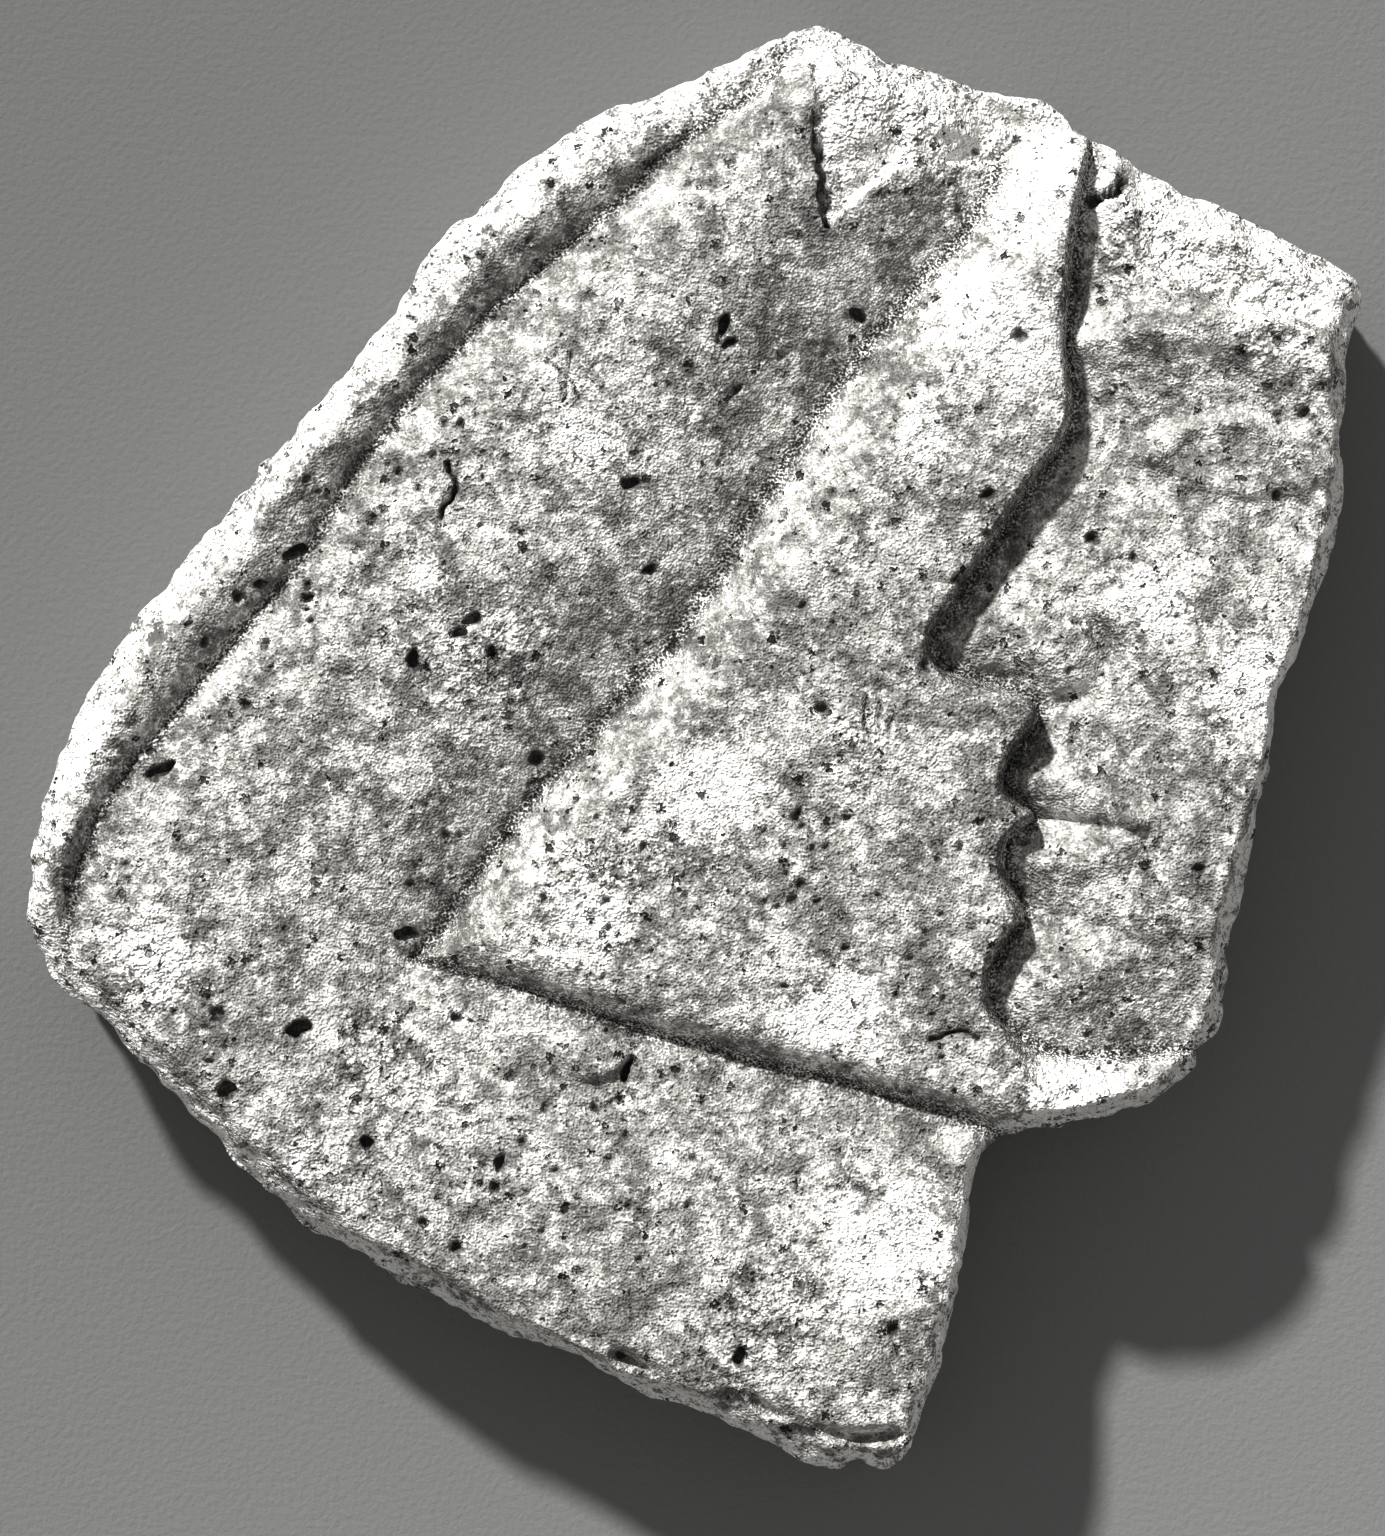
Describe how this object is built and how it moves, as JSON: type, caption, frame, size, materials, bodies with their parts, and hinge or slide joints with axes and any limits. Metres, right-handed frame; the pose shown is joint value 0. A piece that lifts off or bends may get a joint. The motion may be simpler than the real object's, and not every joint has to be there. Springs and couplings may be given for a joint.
{
  "type": "relief fragment",
  "caption": "Broken piece of light stone with a sunk relief of a bent, raised arm and a head in profile, lying on its flat back.",
  "frame": {"origin": "on the flat back, under the middle of the fragment's outline", "axes": "+Z out of the carved front, +Y towards the top of the carved picture, +X to its right; the fragment lies on its back"},
  "size_m": [0.1844, 0.1998, 0.0324],
  "materials": {
    "stone": "rough, porous light limestone with a weathered carved front and broken sides"
  },
  "bodies": {
    "root": {"relief_fragment": "stone"}
  },
  "joints": []
}
